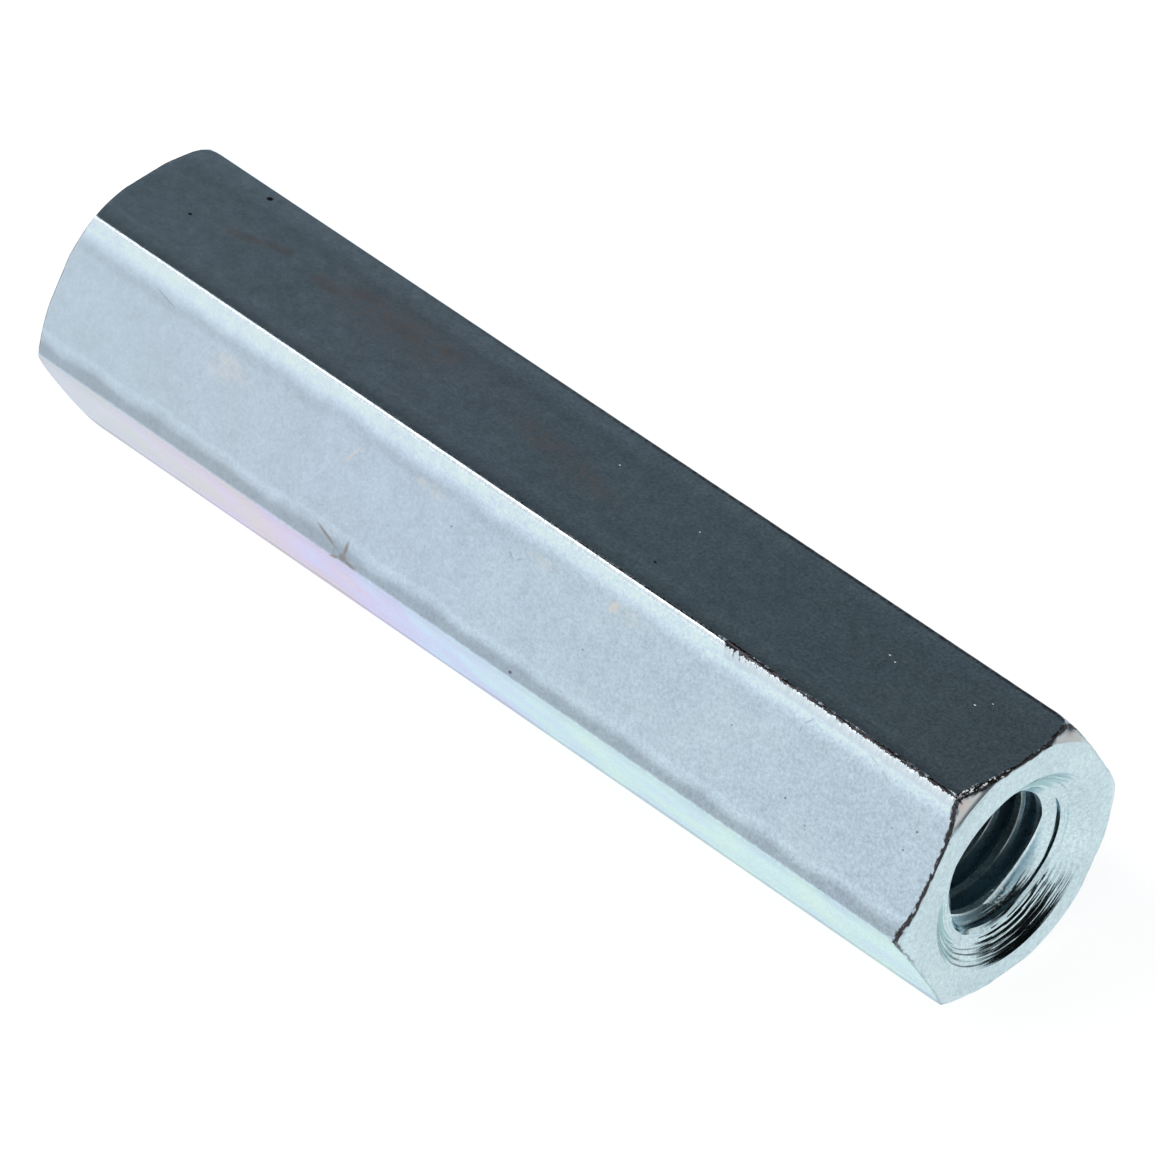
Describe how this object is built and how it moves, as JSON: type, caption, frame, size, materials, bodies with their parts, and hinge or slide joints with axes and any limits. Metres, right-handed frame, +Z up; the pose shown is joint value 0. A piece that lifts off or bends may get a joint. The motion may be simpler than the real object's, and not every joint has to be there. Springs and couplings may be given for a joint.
{
  "type": "hex standoff",
  "caption": "Hexagonal steel spacer pillar with a blind tapped hole in each end, for holding boards or plates a set distance apart.",
  "frame": {"origin": "on the ground under the middle of the bar, centred along its length and across its width", "axes": "+X along the thread axis towards the end that faces the camera in the picture; +Z up out of the flat that it lies on; +Y across the bar to the back"},
  "size_m": [0.035, 0.0092, 0.008],
  "materials": {
    "zinc_plated_steel": "drawn steel hexagon bar with blue-passivated zinc plate, satin, with a fine grain, small pits and stains"
  },
  "bodies": {
    "root": {"standoff": "zinc_plated_steel"}
  },
  "joints": []
}
